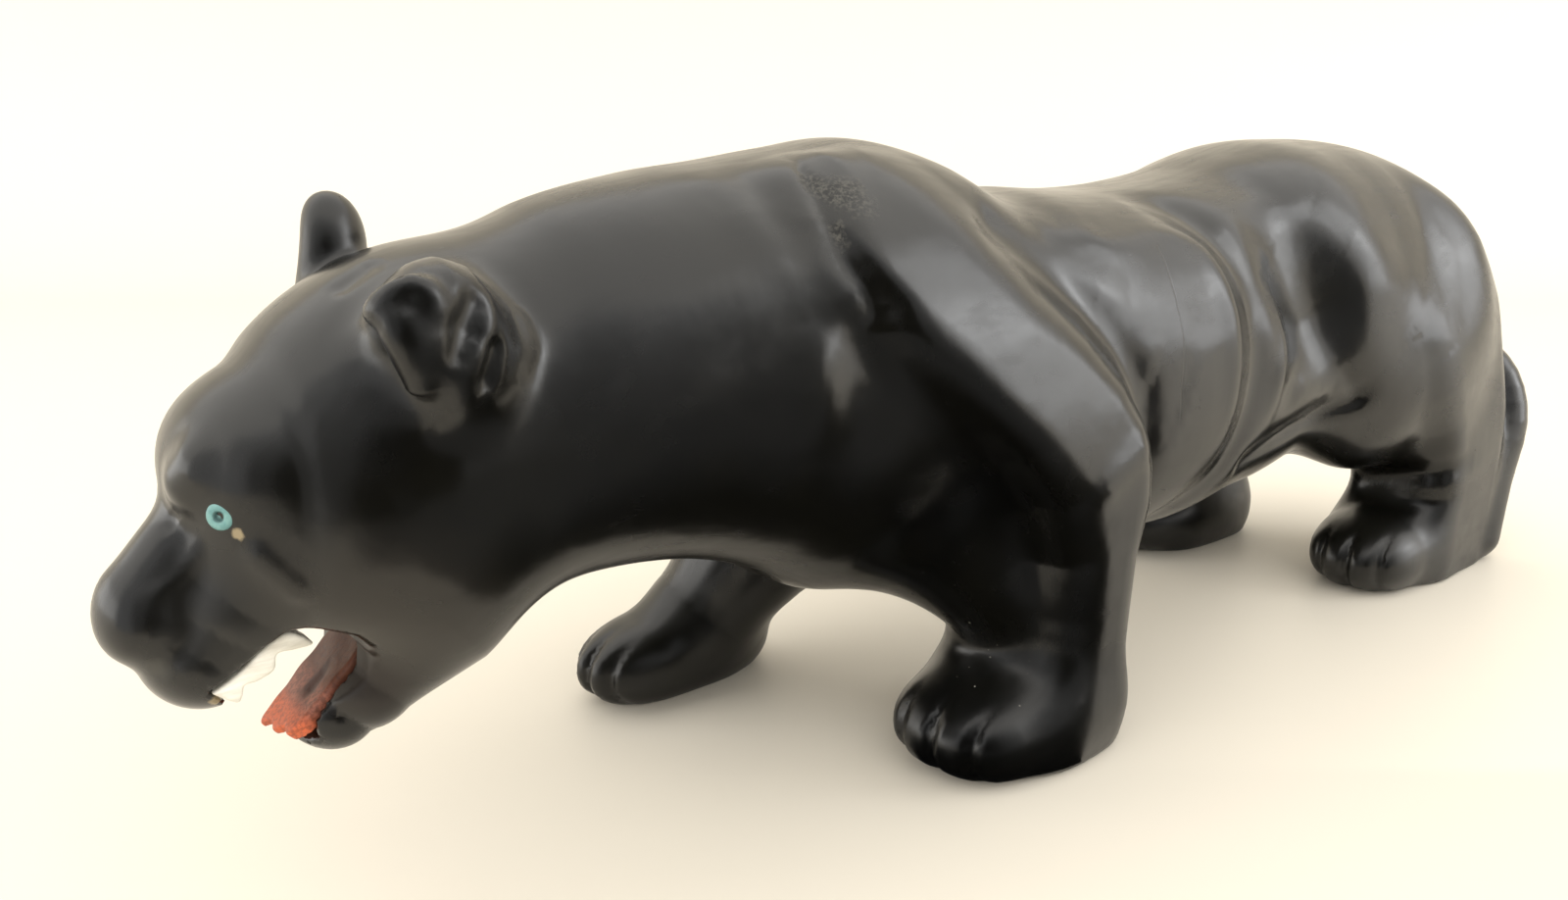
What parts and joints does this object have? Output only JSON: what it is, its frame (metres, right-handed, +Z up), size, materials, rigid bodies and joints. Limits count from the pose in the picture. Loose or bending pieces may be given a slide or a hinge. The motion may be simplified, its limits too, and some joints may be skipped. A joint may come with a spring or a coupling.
{
  "type": "panther figurine",
  "caption": "A prowling panther carved from one block of black stone, standing on its paws, with inlaid turquoise eyes, saw-cut shell teeth and a coral tongue.",
  "frame": {"origin": "the point on the ground under the middle of the figure's length and width", "axes": "+X runs from the head to the tail, +Y to the panther's right side, +Z up"},
  "size_m": [0.2398, 0.0645, 0.0793],
  "materials": {
    "black_stone": "gloss",
    "turquoise": "satin",
    "shell": "satin",
    "coral": "satin"
  },
  "bodies": {
    "root": {"body": "black_stone", "left_eye": "turquoise", "right_eye": "turquoise", "left_teeth": "shell", "right_teeth": "shell", "tongue": "coral"}
  },
  "joints": []
}
